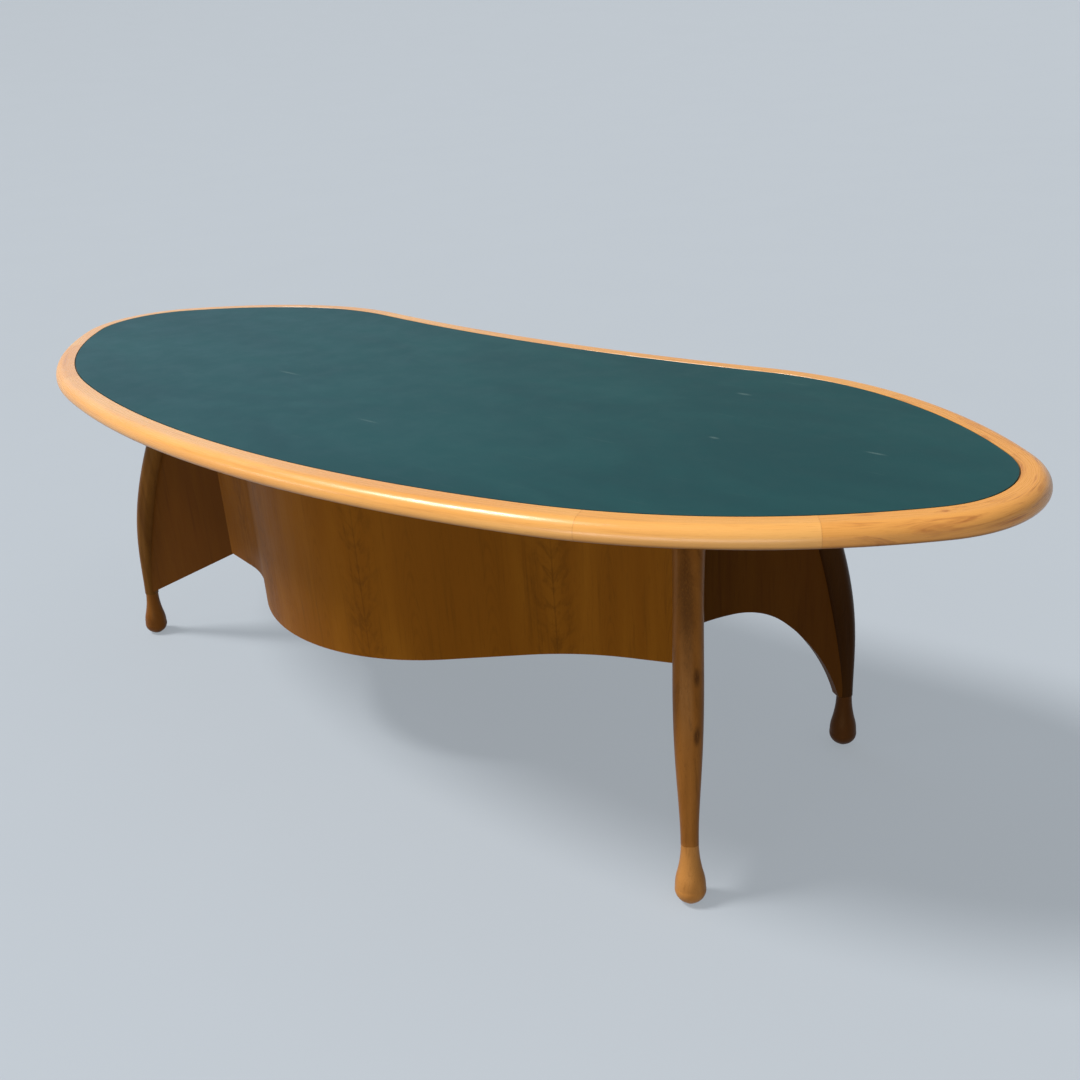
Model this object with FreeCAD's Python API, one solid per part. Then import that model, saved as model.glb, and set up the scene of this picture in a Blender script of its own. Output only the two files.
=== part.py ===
import FreeCAD, Part
import math
import os

from FreeCAD import Vector

# Executive desk with a kidney-shaped top. Millimetres, +Z up, front towards -Y, sitter at +Y.
# The origin is on the floor below the middle of the top.

# Top
desk_height = 720.0
rim_width = 45.0
rim_thickness = 36.0
nose_radius = 22.0
inlay_thickness = 3.0
inlay_joint = 2.0

# Inlay outline, half of it from the middle of the front round to the middle of the back
front_radius = 2566.0
front_end_radius = 1019.0
tip_radius = 180.0
back_end_radius = 871.0
shoulder_radius = 614.0
front_angle = 14.9
front_end_angle = 33.4
tip_angle = 88.1
back_end_angle = 22.9
shoulder_angle = 27.8
front_joint_share = 0.15
tip_joint_share = 0.71

# Dowels between the core board and the rim
rim_dowel_diameter = 8.0
rim_dowel_length = 40.0
rim_dowel_spacing = 240.0

# Feet and legs
front_foot_x = 845.0
front_foot_y = -215.0
back_foot_x = 808.0
back_foot_setback = 274.0
neck_height = 111.0
neck_diameter = 30.0
bulb_diameter = 52.0
bulb_height = 28.0
foot_swell_share = 0.3
front_foot_angle = 4.5
back_foot_angle = 0.0
front_leg_lean = 228.0
back_leg_lean = 146.0
leg_top_width = 52.0
leg_height_shares = (0.0, 0.09, 0.275, 0.41, 0.7, 1.0)
leg_width_shares = (0.0, 0.14, 0.75, 0.93, 0.98, 1.0)
leg_corner_share = 0.38
stud_diameter = 8.0
stud_length = 70.0
glide_diameter = 22.0
glide_height = 4.0
glide_proud = 1.5

# Waved panel: its middle line is a run of straights with rounded corners
panel_thickness = 24.0
panel_bottom = 250.0
wave_left_x = -580.0
wave_front_y = -388.0
wave_span = 1210.0
wave_depth = 471.0
wave_point_shares = ((0.0, 0.599), (0.141, 0.541), (0.479, 0.0), (0.834, 0.828), (1.012, 1.012))
left_bend_radius = 290.0
bulge_radius = 420.0
right_bend_radius = 575.0

# Fins between the legs and the waved panel
fin_toe_height = 113.0
fin_setback = 4.0
arch_height = 343.0
arch_reach_share = 0.764
arch_end_height = 336.0
arch_crown_radius = 150.0
arch_crown_turn_share = 0.91

# Posts in the corners between the waved panel and the back fins
post_diameter = 36.0
post_setback = 24.0
post_dowel_diameter = 12.0
post_dowel_length = 40.0

# Cleat along the back of the waved panel
cleat_width = 24.0
cleat_height = 30.0
cleat_screw_count = 7
screw_diameter = 5.0
screw_head_diameter = 9.0
screw_head_height = 3.0
cleat_screw_length = 48.0

# Plates on top of the legs
plate_diameter = 84.0
plate_thickness = 4.0
plate_screw_reach = 33.0
plate_screw_length = 25.0
leg_screw_offset = 20.0
leg_screw_length = 18.0

# Length by which cutting tools run past what they cut
overrun = 100.0

UP = Vector(0, 0, 1)
ORIGIN = Vector(0, 0, 0)
SIDEWAYS = Vector(1, 0, 0)

core_thickness = rim_thickness - inlay_thickness
underside = desk_height - rim_thickness
chin_radius = rim_thickness - nose_radius
half_panel = panel_thickness / 2
back_foot_y = wave_front_y + wave_depth + back_foot_setback


def heading_vector(heading):
    """Unit vector along a heading in degrees, in plan."""
    angle = math.radians(heading)
    return Vector(math.cos(angle), math.sin(angle), 0)


def left_of(direction):
    """Unit vector to the left of a plan direction."""
    return Vector(-direction.y, direction.x, 0)


def lifted(point, height):
    """The plan point at a height."""
    return Vector(point.x, point.y, height)


def outline_arcs():
    """Arcs of the right half of the inlay outline, as (centre, signed radius, heading, turn)."""
    radii = [front_radius, front_end_radius, tip_radius, back_end_radius, shoulder_radius]
    turns = [front_angle, front_end_angle, tip_angle, back_end_angle, shoulder_angle]
    position = Vector(0, 0, 0)
    heading = 0.0
    rows = []
    for radius, turn in zip(radii, turns):
        centre = position + left_of(heading_vector(heading)) * radius
        rows.append((centre, radius, heading, turn))
        heading = heading + turn
        position = centre - left_of(heading_vector(heading)) * radius
    back_radius = position.x / math.sin(math.radians(heading))
    centre = position + left_of(heading_vector(heading)) * back_radius
    rows.append((centre, back_radius, heading, 180.0 - heading))
    shoulder_centre, radius, _, _ = rows[-2]
    middle = (shoulder_centre.y + radius) / 2
    return [(c - Vector(0, middle, 0), r, h, t) for c, r, h, t in rows]


def on_arc(arc, share, outward=0.0):
    """Point of an outline arc, moved outward from the inlay."""
    centre, radius, heading, turn = arc
    along = heading_vector(heading + turn * share)
    return centre - left_of(along) * (radius + outward)


def outline_face(outward, height):
    """Flat face of the whole outline, moved outward, at a height."""
    right = []
    for arc in outline_arcs():
        points = [lifted(on_arc(arc, share, outward), height) for share in (0.0, 0.5, 1.0)]
        right.append(Part.Arc(*points).toShape())
    left = [edge.mirror(ORIGIN, SIDEWAYS) for edge in right]
    return Part.Face(Part.Wire(Part.__sortEdges__(right + left)))


def rim_profile(arc, share):
    """Section of the rim, square to the outline at a share of an arc."""
    centre, radius, heading, turn = arc
    outward = left_of(heading_vector(heading + turn * share)) * -1
    edge = on_arc(arc, share)

    def at(reach, height):
        return lifted(edge + outward * reach, height)

    def round_edge(radius, side):
        reach = rim_width - radius
        height = underside + chin_radius
        slant = radius * math.sqrt(0.5)
        ends = [at(reach, height + side * radius), at(reach + slant, height + side * slant), at(rim_width, height)]
        return Part.Arc(*ends).toShape()

    edges = [
        round_edge(nose_radius, 1),
        round_edge(chin_radius, -1),
        Part.makeLine(at(0, desk_height), at(0, underside)),
        Part.makeLine(at(0, underside), at(rim_width - chin_radius, underside)),
        Part.makeLine(at(rim_width - nose_radius, desk_height), at(0, desk_height)),
    ]
    return Part.Face(Part.Wire(Part.__sortEdges__(edges)))


def rim_length(arc, start, end):
    """One length of rim between two shares of an arc, made by turning its section about the arc's centre."""
    centre, _, _, turn = arc
    return rim_profile(arc, start).revolve(centre, UP, turn * (end - start))


def rim_run(spans):
    """Several neighbouring spans of the outline as one length of rim."""
    whole, *others = [rim_length(arc, start, end) for arc, start, end in spans]
    for other in others:
        whole = whole.fuse(other)
    return whole.removeSplitter()


def with_mirror(half):
    """Piece made of a right half and its mirror image."""
    return half.fuse(half.mirror(ORIGIN, SIDEWAYS)).removeSplitter()


def cylinder(start, end, diameter):
    """Round bar between two points."""
    return Part.makeCylinder(diameter / 2, (end - start).Length, start, end - start)


def rim_dowel_bars():
    """Dowels square to the outline, half in the core board and half in the rim."""
    middle = underside + rim_thickness / 2
    right = []
    for arc in outline_arcs():
        length = abs(arc[1] * math.radians(arc[3]))
        count = max(1, round(length / rim_dowel_spacing))
        for index in range(count):
            share = (index + 0.5) / count
            inner = lifted(on_arc(arc, share, -rim_dowel_length / 2), middle)
            outer = lifted(on_arc(arc, share, rim_dowel_length / 2), middle)
            right.append(cylinder(inner, outer, rim_dowel_diameter))
    return right + [bar.mirror(ORIGIN, SIDEWAYS) for bar in right]


def screw(head, direction, length):
    """Countersunk screw with its flat head at a point, driven along a direction."""
    cone = Part.makeCone(screw_head_diameter / 2, screw_diameter / 2, screw_head_height, head, direction)
    shank_start = head + direction * screw_head_height
    shank = cylinder(shank_start, head + direction * length, screw_diameter)
    return cone.fuse(shank).removeSplitter()


def wave_points():
    """Corners of the waved panel's middle line, left to right."""
    return [
        Vector(wave_left_x + wave_span * across, wave_front_y + wave_depth * back, 0)
        for across, back in wave_point_shares
    ]


def wave_stations():
    """Straights and bends of the middle line, as (start, end, bend centre or None, heading, turn)."""
    corners = wave_points()
    headings = []
    for start, end in zip(corners, corners[1:]):
        headings.append(math.degrees(math.atan2(end.y - start.y, end.x - start.x)))
    bends = [left_bend_radius, bulge_radius, right_bend_radius]
    position = corners[0]
    rows = []
    for index, radius in enumerate(bends):
        heading = headings[index]
        turn = headings[index + 1] - heading
        reach = radius * math.tan(math.radians(abs(turn)) / 2)
        corner = corners[index + 1]
        bend_start = corner - heading_vector(heading) * reach
        bend_end = corner + heading_vector(heading + turn) * reach
        side = 1.0 if turn > 0 else -1.0
        centre = bend_start + left_of(heading_vector(heading)) * (side * radius)
        rows.append((position, bend_start, None, heading, 0.0))
        rows.append((bend_start, bend_end, centre, heading, turn))
        position = bend_end
    rows.append((position, corners[-1], None, headings[-1], 0.0))
    return rows


def on_station(station, share, offset):
    """Point along a station of the waved panel, moved to the left of the run."""
    start, end, centre, heading, turn = station
    sideways = left_of(heading_vector(heading + turn * share)) * offset
    if centre is None:
        return start + (end - start) * share + sideways
    arm = start - centre
    angle = math.radians(turn * share)
    turned = Vector(
        arm.x * math.cos(angle) - arm.y * math.sin(angle),
        arm.x * math.sin(angle) + arm.y * math.cos(angle),
        0,
    )
    return centre + turned + sideways


def station_edge(station, offset, height):
    """Edge of a station, moved to the left of the run, at a height."""
    shares = (0.0, 1.0) if station[2] is None else (0.0, 0.5, 1.0)
    points = [lifted(on_station(station, share, offset), height) for share in shares]
    if len(points) == 2:
        return Part.makeLine(*points)
    return Part.Arc(*points).toShape()


def band(stations, near, far, bottom, top):
    """Upright band between two offsets of a run of stations."""
    edges = [station_edge(row, near, bottom) for row in stations]
    edges = edges + [station_edge(row, far, bottom) for row in stations]
    for row, share in ((stations[0], 0.0), (stations[-1], 1.0)):
        ends = [lifted(on_station(row, share, offset), bottom) for offset in (near, far)]
        edges.append(Part.makeLine(*ends))
    face = Part.Face(Part.Wire(Part.__sortEdges__(edges)))
    return face.extrude(UP * (top - bottom))


def stretched_wave():
    """Stations of the waved panel, with its two ends run on past the junctions."""
    rows = wave_stations()
    start, end, centre, heading, turn = rows[0]
    rows[0] = (start - heading_vector(heading) * overrun, end, centre, heading, turn)
    start, end, centre, heading, turn = rows[-1]
    rows[-1] = (start, end + heading_vector(heading) * overrun, centre, heading, turn)
    return rows


def half_space(point, normal):
    """Large block on the side of an upright plane that its normal points to."""
    size = wave_span + overrun
    block = Part.makeBox(size, 2 * size, desk_height, Vector(0, -size, 0))
    block.rotate(ORIGIN, UP, math.degrees(math.atan2(normal.y, normal.x)))
    block.translate(point)
    return block


class Junction:
    """Upright line where two fins meet the waved panel, with the post in the corner behind the panel."""

    def __init__(self, point, wave_direction, front_foot, back_foot):
        self.point = point
        self.front_foot = front_foot
        self.back_foot = back_foot
        fin_direction = (point - front_foot).normalize()
        self.towards_wave = (fin_direction + wave_direction).normalize()
        inner_corner = (back_foot - point).normalize() + wave_direction
        self.post_centre = point + inner_corner.normalize() * post_setback


def junctions():
    """The left and the right junction."""
    corners = wave_points()
    left_direction = (corners[1] - corners[0]).normalize()
    right_direction = (corners[-2] - corners[-1]).normalize()
    front = Vector(front_foot_x, front_foot_y, 0)
    back = Vector(back_foot_x, back_foot_y, 0)
    mirrored_front = Vector(-front_foot_x, front_foot_y, 0)
    mirrored_back = Vector(-back_foot_x, back_foot_y, 0)
    left = Junction(corners[0], left_direction, mirrored_front, mirrored_back)
    right = Junction(corners[-1], right_direction, front, back)
    return left, right


class LegPlane:
    """Upright plane of a leg and its fin: distances run inwards from the foot.

    The leg's middle line is an arc that starts at the foot's neck, along the foot's axis, and has leaned in by
    top_lean where it reaches the underside of the top.
    """

    def __init__(self, foot, target, top_lean, foot_angle):
        self.foot = foot
        self.foot_angle = foot_angle
        self.inward = (target - foot).normalize()
        self.across = left_of(self.inward)
        self.reach = (target - foot).Length
        tilt = math.radians(foot_angle)
        self.neck_axis = self.inward * math.sin(tilt) + UP * math.cos(tilt)
        self.neck_distance = (neck_height - bulb_height) * math.sin(tilt)
        self.neck_level = bulb_height + (neck_height - bulb_height) * math.cos(tilt)
        run = top_lean - self.neck_distance
        rise = underside - self.neck_level
        self.arc_radius = math.hypot(run, rise) / (2 * math.sin(math.atan2(run, rise) - tilt))
        self.centre_distance = self.neck_distance + self.arc_radius * math.cos(tilt)
        self.centre_height = self.neck_level - self.arc_radius * math.sin(tilt)

    def at(self, distance, height, sideways=0.0):
        """Point of the plane, or beside it."""
        return lifted(self.foot + self.inward * distance + self.across * sideways, height)

    def lean(self, height, setback=0.0):
        """Inward lean of the leg's middle line at a height, or of a line set back from it."""
        inner = self.arc_radius - setback
        return self.centre_distance - math.sqrt(inner ** 2 - (height - self.centre_height) ** 2)

    def slope(self, height):
        """Angle of the leg's middle line from upright, in radians."""
        return math.asin((height - self.centre_height) / self.arc_radius)


def leg_section(plane, height, width):
    """Rounded square section of a leg, square to its middle line."""
    slope = plane.slope(height)
    middle = plane.lean(height)
    half = width / 2
    corner = width * leg_corner_share
    flat = half - corner
    bulge = corner * math.sqrt(0.5)

    def at(inward, sideways):
        distance = middle + inward * math.cos(slope)
        return plane.at(distance, height - inward * math.sin(slope), sideways)

    edges = []
    for side_in, side_out in ((1, 1), (-1, 1), (-1, -1), (1, -1)):
        points = [(half, flat), (flat + bulge, flat + bulge), (flat, half)]
        arc = [at(side_in * a, side_out * b) for a, b in points]
        edges.append(Part.Arc(*arc).toShape())
    for side in (1, -1):
        edges.append(Part.makeLine(at(side * half, flat), at(side * half, -flat)))
        edges.append(Part.makeLine(at(flat, side * half), at(-flat, side * half)))
    return Part.Wire(Part.__sortEdges__(edges))


def leg_body(plane):
    """Leaning leg from the foot's neck to the underside of the top, before it is grooved."""
    rise = underside + leg_top_width - plane.neck_level
    sections = []
    for height_share, width_share in zip(leg_height_shares, leg_width_shares):
        width = neck_diameter + (leg_top_width - neck_diameter) * width_share
        sections.append(leg_section(plane, plane.neck_level + rise * height_share, width))
    leg = Part.makeLoft(sections, True)
    size = overrun + plane.reach
    block = Part.makeBox(2 * size, 2 * size, size, lifted(plane.foot - Vector(size, size, 0), underside))
    return leg.cut(block)


def fin_outline(plane, end_distance, lower_edges, lower_end):
    """Flat face of a fin, from its leg's middle line to a distance, above its lower edges."""
    heights = (fin_toe_height, (fin_toe_height + underside) / 2, underside)
    points = [plane.at(plane.lean(height, fin_setback), height) for height in heights]
    edges = [Part.Arc(*points).toShape()]
    edges.append(Part.makeLine(points[-1], plane.at(end_distance, underside)))
    edges.append(Part.makeLine(plane.at(end_distance, underside), plane.at(end_distance, lower_end)))
    edges = edges + lower_edges
    return Part.Face(Part.Wire(Part.__sortEdges__(edges)))


def thick_fin(face, plane):
    """Fin of full thickness, centred on its plane."""
    face.translate(plane.across * -half_panel)
    return face.extrude(plane.across * panel_thickness)


def front_fin(plane, junction):
    """Front fin with a straight lower edge, mitred to the waved panel."""
    end = plane.reach + overrun
    end_height = fin_toe_height + (panel_bottom - fin_toe_height) * end / plane.reach
    toe = plane.at(plane.lean(fin_toe_height, fin_setback), fin_toe_height)
    lower_edges = [Part.makeLine(toe, plane.at(end, end_height))]
    fin = thick_fin(fin_outline(plane, end, lower_edges, end_height), plane)
    return fin.cut(half_space(junction.point, junction.towards_wave))


def arch_reach():
    """Distance of an arch's crown from its foot, alike on both sides and set by the shorter back fin."""
    return arch_reach_share * min((row.back_foot - row.point).Length for row in junctions())


def arch_flank(plane, toe_distance):
    """Leg side of the arch: a tight bend at the crown, then a gentle one down to the toe."""
    crown_distance = arch_reach()
    turn = arch_crown_turn_share * math.atan2(arch_height - fin_toe_height, crown_distance - toe_distance)

    def on_bend(distance, height, radius, slope):
        return plane.at(distance - radius * math.sin(slope), height + radius * math.cos(slope))

    def bend(distance, height, radius, first, last):
        slopes = (first, (first + last) / 2, last)
        return Part.Arc(*[on_bend(distance, height, radius, slope) for slope in slopes]).toShape()

    crown_height = arch_height - arch_crown_radius
    foot_distance = crown_distance - arch_crown_radius * math.sin(turn)
    foot_height = crown_height + arch_crown_radius * math.cos(turn)
    run = foot_distance - toe_distance
    rise = foot_height - fin_toe_height
    half_turn = math.atan2(rise, run) - turn
    radius = math.hypot(run, rise) / (2 * math.sin(half_turn))
    distance = foot_distance + radius * math.sin(turn)
    height = foot_height - radius * math.cos(turn)
    return [
        bend(crown_distance, crown_height, arch_crown_radius, 0.0, turn),
        bend(distance, height, radius, turn, turn + 2 * half_turn),
    ]


def arch_end(plane):
    """Junction side of the arch, level at its crown."""
    rise = arch_height - arch_end_height
    crown_distance = arch_reach()
    run = plane.reach - crown_distance
    radius = (run ** 2 + rise ** 2) / (2 * rise)
    half_angle = math.atan2(rise, run)
    middle_height = arch_height - radius * (1 - math.cos(half_angle))
    middle = plane.at(crown_distance + radius * math.sin(half_angle), middle_height)
    crown = plane.at(crown_distance, arch_height)
    return [Part.Arc(crown, middle, plane.at(plane.reach, arch_end_height)).toShape()]


def back_fin(plane):
    """Back fin with an arched lower edge, running to its junction."""
    middle_distance = plane.lean(fin_toe_height, fin_setback)
    toe_distance = middle_distance + neck_diameter / 2
    toe = Part.makeLine(plane.at(middle_distance, fin_toe_height), plane.at(toe_distance, fin_toe_height))
    lower_edges = [toe] + arch_flank(plane, toe_distance) + arch_end(plane)
    return thick_fin(fin_outline(plane, plane.reach, lower_edges, arch_end_height), plane)


def foot_body(plane):
    """Turned teardrop foot on the axis of its leg's neck, with a level flat under its bulb."""
    flat_radius = glide_diameter / 2 + glide_proud
    bulb_radius = bulb_diameter / 2
    neck_radius = neck_diameter / 2
    climb = neck_height - bulb_height
    turn = 2 * math.atan2(bulb_radius - neck_radius, climb)
    swell_radius = foot_swell_share * climb / math.sin(turn)
    hollow_radius = (1 - foot_swell_share) * climb / math.sin(turn)

    def at(radius, height):
        return Vector(radius, 0, height)

    def on_swell(angle):
        return at(bulb_radius - swell_radius * (1 - math.cos(angle)), bulb_height + swell_radius * math.sin(angle))

    def on_hollow(angle):
        return at(neck_radius + hollow_radius * (1 - math.cos(angle)), neck_height - hollow_radius * math.sin(angle))

    cheek = at(flat_radius + (bulb_radius - flat_radius) * math.sqrt(0.5),
               glide_proud + (bulb_height - glide_proud) * (1 - math.sqrt(0.5)))
    arcs = [Part.Arc(at(flat_radius, glide_proud), cheek, at(bulb_radius, bulb_height)).toShape()]
    for curve in (on_swell, on_hollow):
        arcs.append(Part.Arc(curve(0.0), curve(turn / 2), curve(turn)).toShape())
    corners = [(neck_radius, neck_height), (0, neck_height), (0, -glide_proud), (flat_radius, -glide_proud),
               (flat_radius, glide_proud)]
    lines = [Part.makeLine(at(*first), at(*last)) for first, last in zip(corners, corners[1:])]
    foot = Part.Face(Part.Wire(Part.__sortEdges__(arcs + lines))).revolve(ORIGIN, UP, 360)
    foot.rotate(at(0, bulb_height), plane.across, plane.foot_angle)
    foot.translate(plane.foot)
    below = Part.makeCylinder(bulb_diameter, bulb_height, lifted(plane.foot, glide_proud - bulb_height))
    return foot.cut(below)


def cut_all(shape, tools):
    """Shape less every tool."""
    return shape.cut(tools) if tools else shape


def save(name, solids):
    """Write one node, a single piece or a group of separate ones."""
    shape = solids[0] if len(solids) == 1 else Part.makeCompound(solids)
    shape.exportStep(os.path.join("parts", name + ".step"))


def leg_planes():
    """The four leg planes by the name of their corner."""
    left, right = junctions()
    return {
        "front_left": LegPlane(left.front_foot, left.point, front_leg_lean, front_foot_angle),
        "front_right": LegPlane(right.front_foot, right.point, front_leg_lean, front_foot_angle),
        "back_left": LegPlane(left.back_foot, left.point, back_leg_lean, back_foot_angle),
        "back_right": LegPlane(right.back_foot, right.point, back_leg_lean, back_foot_angle),
    }


def build_base(planes):
    """Panels, posts, legs and feet, with the grooves and holes for their fasteners."""
    left, right = junctions()
    wave = band(stretched_wave(), -half_panel, half_panel, panel_bottom, underside)
    for junction in (left, right):
        wave = wave.common(half_space(junction.point, junction.towards_wave))
    fins = {
        "front_left": front_fin(planes["front_left"], left),
        "front_right": front_fin(planes["front_right"], right),
        "back_left": back_fin(planes["back_left"]),
        "back_right": back_fin(planes["back_right"]),
    }
    dowels = []
    for side, junction in (("left", left), ("right", right)):
        base = lifted(junction.post_centre, arch_end_height)
        post = cylinder(base, lifted(base, underside), post_diameter)
        neighbours = [wave, fins["front_" + side]]
        fins["back_" + side] = cut_all(fins["back_" + side], neighbours)
        middle = lifted(base, underside)
        dowel = cylinder(middle - UP * (post_dowel_length / 2), middle + UP * (post_dowel_length / 2),
                         post_dowel_diameter)
        dowels.append(dowel)
        save("post_" + side, [cut_all(post, neighbours + [fins["back_" + side], dowel])])
    save("wave_panel", [wave])
    for corner, fin in fins.items():
        save("fin_" + corner, [fin])
    return fins, dowels


def build_legs(planes, fins):
    """Legs, feet, studs, glides and the leg plates with their screws."""
    studs = []
    glides = []
    plates = []
    plate_screws = []
    leg_screws = []
    for corner, plane in planes.items():
        neck = plane.at(plane.neck_distance, plane.neck_level)
        half_stud = plane.neck_axis * (stud_length / 2)
        stud = cylinder(neck - half_stud, neck + half_stud, stud_diameter)
        glide = cylinder(plane.at(0, 0), plane.at(0, glide_height), glide_diameter)
        plate_middle = plane.at(plane.lean(underside), underside)
        plate = cylinder(plate_middle, plate_middle + UP * plate_thickness, plate_diameter)
        corner_screws = []
        for side in (1, -1):
            head = plate_middle + plane.across * (side * plate_screw_reach)
            corner_screws.append(screw(head, UP, plate_screw_length))
        leg_head = plate_middle - plane.inward * leg_screw_offset + UP * plate_thickness
        leg_screw = screw(leg_head, UP * -1, leg_screw_length)
        save("leg_" + corner, [cut_all(leg_body(plane), [fins[corner], stud, leg_screw])])
        save("foot_" + corner, [cut_all(foot_body(plane), [stud, glide])])
        studs.append(stud)
        glides.append(glide)
        plates.append(cut_all(plate, corner_screws + [leg_screw]))
        plate_screws = plate_screws + corner_screws
        leg_screws.append(leg_screw)
    save("foot_studs", studs)
    save("floor_glides", glides)
    save("leg_plates", plates)
    save("plate_screws", plate_screws)
    save("leg_screws", leg_screws)
    return plates + plate_screws + leg_screws


def build_cleat():
    """Cleat along the back of the waved panel and the screws through it into the core."""
    stations = wave_stations()[1:-1]
    bottom = underside - cleat_height
    cleat = band(stations, half_panel, half_panel + cleat_width, bottom, underside)
    screws = []
    for index in range(cleat_screw_count):
        along = (index + 0.5) / cleat_screw_count * len(stations)
        station = stations[int(along)]
        point = on_station(station, along - int(along), half_panel + cleat_width / 2)
        screws.append(screw(lifted(point, bottom), UP, cleat_screw_length))
    save("wave_cleat", [cut_all(cleat, screws)])
    save("cleat_screws", screws)
    return screws


def build_top(fasteners):
    """Core board, inlay, rim lengths and the dowels between core and rim."""
    dowels = rim_dowel_bars()
    core = outline_face(0.0, underside).extrude(UP * core_thickness)
    save("top_core", [cut_all(core, dowels + fasteners)])
    inlay_bottom = desk_height - inlay_thickness
    save("writing_inlay", [outline_face(-inlay_joint, inlay_bottom).extrude(UP * inlay_thickness)])
    save("rim_dowels", dowels)
    arcs = outline_arcs()
    front_half = rim_run([(arcs[0], 0.0, 1.0), (arcs[1], 0.0, front_joint_share)])
    back_half = rim_length(arcs[-1], 0.0, 1.0)
    save("rim_front", [cut_all(with_mirror(front_half), dowels)])
    save("rim_back", [cut_all(with_mirror(back_half), dowels)])
    lengths = {
        "front_end": rim_length(arcs[1], front_joint_share, tip_joint_share),
        "tip": rim_run([(arcs[1], tip_joint_share, 1.0), (arcs[2], 0.0, 1.0)]),
        "back_end": rim_length(arcs[3], 0.0, 1.0),
        "shoulder": rim_length(arcs[4], 0.0, 1.0),
    }
    for name, length in lengths.items():
        right = cut_all(length, dowels)
        save("rim_" + name + "_right", [right])
        save("rim_" + name + "_left", [right.mirror(ORIGIN, SIDEWAYS)])


os.makedirs("parts", exist_ok=True)
leg_plane_set = leg_planes()
fin_set, post_dowels = build_base(leg_plane_set)
save("post_dowels", post_dowels)
top_fasteners = build_legs(leg_plane_set, fin_set) + build_cleat() + post_dowels
build_top(top_fasteners)
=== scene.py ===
import logging
import math
from dataclasses import dataclass, field
from enum import Enum
from typing import Dict, List, Optional, Sequence, Tuple

import bpy
from mathutils import Matrix, Vector


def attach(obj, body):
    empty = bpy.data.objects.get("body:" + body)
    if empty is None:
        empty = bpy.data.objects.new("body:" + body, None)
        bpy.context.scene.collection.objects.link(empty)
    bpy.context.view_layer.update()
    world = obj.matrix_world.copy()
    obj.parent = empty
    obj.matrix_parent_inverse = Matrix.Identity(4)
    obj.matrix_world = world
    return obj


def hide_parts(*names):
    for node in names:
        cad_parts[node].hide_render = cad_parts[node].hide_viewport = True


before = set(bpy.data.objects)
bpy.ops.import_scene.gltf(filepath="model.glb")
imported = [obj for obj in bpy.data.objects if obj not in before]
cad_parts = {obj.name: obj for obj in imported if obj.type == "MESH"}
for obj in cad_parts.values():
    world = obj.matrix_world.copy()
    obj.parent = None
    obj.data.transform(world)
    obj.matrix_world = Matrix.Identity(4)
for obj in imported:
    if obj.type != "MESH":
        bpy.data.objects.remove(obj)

LOG = logging.getLogger("desk")
Colour = Tuple[float, float, float]
Point = Tuple[float, float]
Place = Tuple[float, float, float]


class Grain(Enum):
    """Which way the fibres of a wood run."""

    UPRIGHT = "upright"
    ALONG_X = "along x"
    ALONG_LENGTH = "along the length of the piece"


@dataclass(frozen=True)
class Mark:
    """Knot, stain, scuff or patch of painted shade: an ellipsoid that tints the surface where it cuts it.
    """

    place: Place
    reach: Place
    share: float
    lean: Place = (0.0, 0.0, 1.0)


@dataclass(frozen=True)
class Veneer:
    """Flat-cut veneer leaves that mirror each other, with arches within, flecks beside the seams and
    painted shade along the top.
    """

    leaf: float
    seam: float
    depth_squeeze: float = 0.6
    arch_place: float = 0.62
    arch_rise: float = 260.0
    arch_spacing: float = 24.0
    arch_wander: float = 7.0
    arch_lines: float = 6.0
    arch_share: float = 0.28
    fleck_scale: float = 46.0
    fleck_width: float = 1.6
    fleck_slant: float = 1.2
    fleck_change: float = 0.35
    fleck_reach: float = 0.055
    fleck_share: float = 0.6
    # Painted shade towards the top of the panel, between these heights.
    shade_from: float = 0.50
    shade_to: float = 0.70
    shade_share: float = 0.45
    line_share: float = 0.3


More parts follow.
